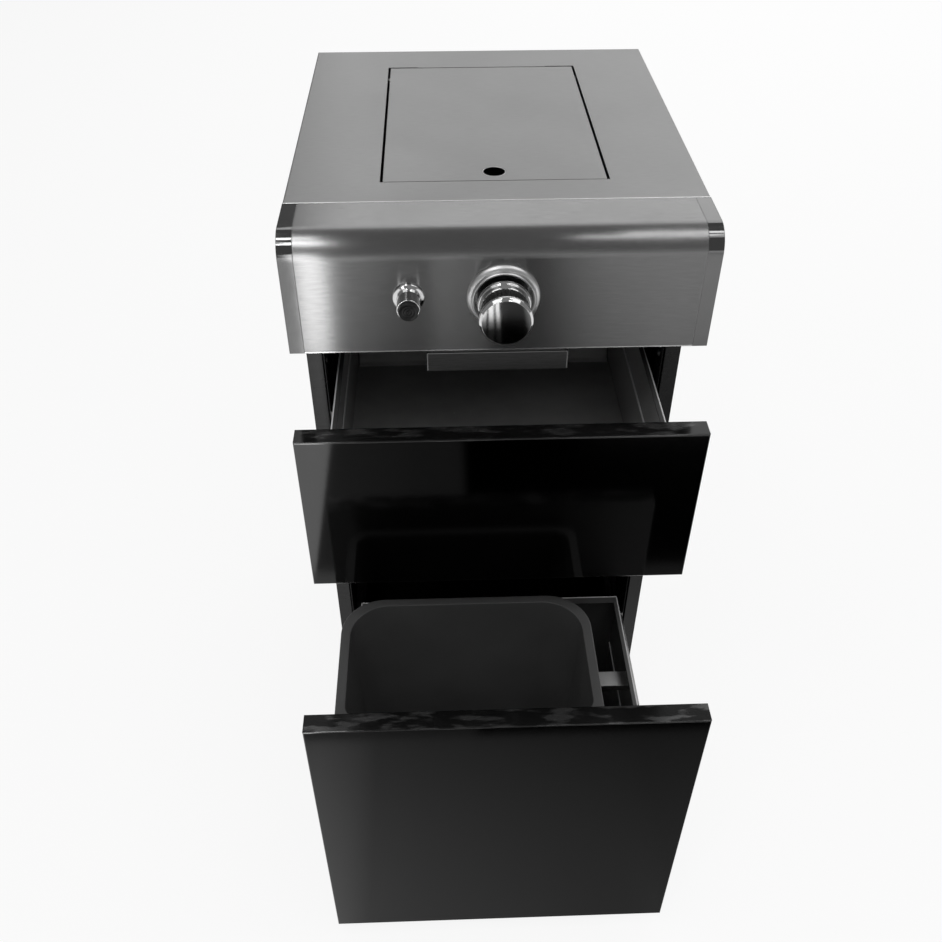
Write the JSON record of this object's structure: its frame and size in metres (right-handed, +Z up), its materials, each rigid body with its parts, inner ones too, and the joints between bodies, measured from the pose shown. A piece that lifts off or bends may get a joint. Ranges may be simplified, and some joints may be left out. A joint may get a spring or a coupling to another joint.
{
  "type": "side burner cabinet",
  "caption": "Narrow steel outdoor kitchen cabinet with a gas side burner under a flush hinged lid, a control panel with knob and igniter, and sliding drawers, one with a waste bin.",
  "frame": {"origin": "on the floor, under the middle of the part's box with the drawers open as pictured", "axes": "+X to the right and +Y to the back as seen by someone at the knob, +Z up"},
  "size_m": [0.45, 0.817, 0.913],
  "materials": {
    "worktop_steel": "stainless sheet with a fine grain along the width",
    "panel_steel": "stainless sheet with a fine grain along the width",
    "polished_steel": "polished stainless steel",
    "body_steel": "plain stainless sheet",
    "carcass_steel": "dark brushed steel sheet",
    "black_steel": "glossy black stainless sheet with a faint grain",
    "drawer_steel": "dark grey satin sheet",
    "rail_steel": "zinc-plated rolled steel",
    "chrome": "polished chrome",
    "black_plastic": "black moulded plastic",
    "bin_plastic": "dark grey moulded plastic with a fine texture",
    "brass": "machined brass",
    "cast_iron": "matt black cast iron",
    "burner_alloy": "die-cast alloy",
    "burner_enamel": "black enamel",
    "insulator": "glazed white ceramic",
    "foot_rubber": "black rubber"
  },
  "bodies": {
    "cabinet": {"left_side_panel": "carcass_steel", "right_side_panel": "carcass_steel", "back_panel": "carcass_steel", "bottom_panel": "carcass_steel", "front_cross_rail": "carcass_steel", "front_apron": "carcass_steel", "left_slide_posts": "carcass_steel", "right_slide_posts": "carcass_steel", "worktop": "worktop_steel", "lid_pins": "rail_steel", "control_panel": "panel_steel", "left_panel_end_cap": "polished_steel", "right_panel_end_cap": "polished_steel", "panel_floor": "carcass_steel", "burner_well": "worktop_steel", "burner_base": "burner_alloy", "burner_head": "brass", "burner_cap": "burner_enamel", "pan_support": "cast_iron", "venturi_tube": "rail_steel", "gas_valve": "burner_alloy", "gas_jet": "brass", "gas_pipe": "rail_steel", "gas_inlet_fitting": "brass", "electrode_insulator": "insulator", "electrode_rod": "rail_steel", "ignition_lead": "black_plastic", "knob_bezel": "polished_steel", "igniter_body": "chrome", "igniter_nut": "rail_steel", "left_tray_rail": "carcass_steel", "right_tray_rail": "carcass_steel", "foot_studs": "rail_steel", "foot_pads": "foot_rubber", "post_screws": "rail_steel", "back_panel_screws": "rail_steel", "upper_cabinet_rails": "rail_steel", "lower_cabinet_rails": "rail_steel"},
    "lid": {"burner_lid": "worktop_steel"},
    "spindle": {"valve_spindle": "rail_steel"},
    "knob": {"knob_skirt": "chrome", "knob_grip": "black_plastic", "knob_cap": "chrome"},
    "igniter": {"igniter_button": "black_plastic"},
    "drip_tray_body": {"drip_tray": "body_steel", "tray_pull": "body_steel"},
    "upper_drawer": {"upper_drawer_front": "black_steel", "upper_drawer_liner": "black_steel", "upper_drawer_box": "drawer_steel", "upper_drawer_screws": "rail_steel", "upper_drawer_rails": "rail_steel"},
    "upper_middle": {"upper_middle_rails": "rail_steel"},
    "lower_drawer": {"lower_drawer_front": "black_steel", "lower_drawer_liner": "black_steel", "lower_drawer_box": "drawer_steel", "lower_drawer_screws": "rail_steel", "lower_drawer_rails": "rail_steel", "waste_bin": "bin_plastic", "bin_crossbar": "body_steel"},
    "lower_middle": {"lower_middle_rails": "rail_steel"}
  },
  "joints": [
    {"name": "lid_hinge", "type": "hinge", "parent": "cabinet", "child": "lid", "pos_m": [0, 0.3165, 0.905], "axis": [-1, 0, 0], "range_deg": [0, 100]},
    {"name": "knob_push", "type": "slide", "parent": "cabinet", "child": "spindle", "axis": [0, 1, 0], "range_m": [0, 0.003], "stiffness_N_per_m": 1500, "springref_m": -0.003},
    {"name": "knob_turn", "type": "hinge", "parent": "spindle", "child": "knob", "pos_m": [0.003, -0.1375, 0.843], "axis": [0, -1, 0], "range_deg": [0, 225]},
    {"name": "igniter_press", "type": "slide", "parent": "cabinet", "child": "igniter", "axis": [0, 1, 0], "range_m": [0, 0.004], "stiffness_N_per_m": 1500, "springref_m": -0.003},
    {"name": "drip_tray_slide", "type": "slide", "parent": "cabinet", "child": "drip_tray_body", "axis": [0, -1, 0], "range_m": [0, 0.3]},
    {"name": "upper_drawer_slide", "type": "slide", "parent": "cabinet", "child": "upper_drawer", "axis": [0, -1, 0], "range_m": [-0.139, 0.26]},
    {"name": "upper_middle_slide", "type": "slide", "parent": "cabinet", "child": "upper_middle", "axis": [0, -1, 0], "range_m": [-0.0695, 0.13]},
    {"name": "lower_drawer_slide", "type": "slide", "parent": "cabinet", "child": "lower_drawer", "axis": [0, -1, 0], "range_m": [-0.325, 0.006]},
    {"name": "lower_middle_slide", "type": "slide", "parent": "cabinet", "child": "lower_middle", "axis": [0, -1, 0], "range_m": [-0.1625, 0.003]}
  ],
  "couplings": [
    {"joint": "upper_middle_slide", "follows": "upper_drawer_slide", "ratio": 0.5},
    {"joint": "lower_middle_slide", "follows": "lower_drawer_slide", "ratio": 0.5}
  ]
}
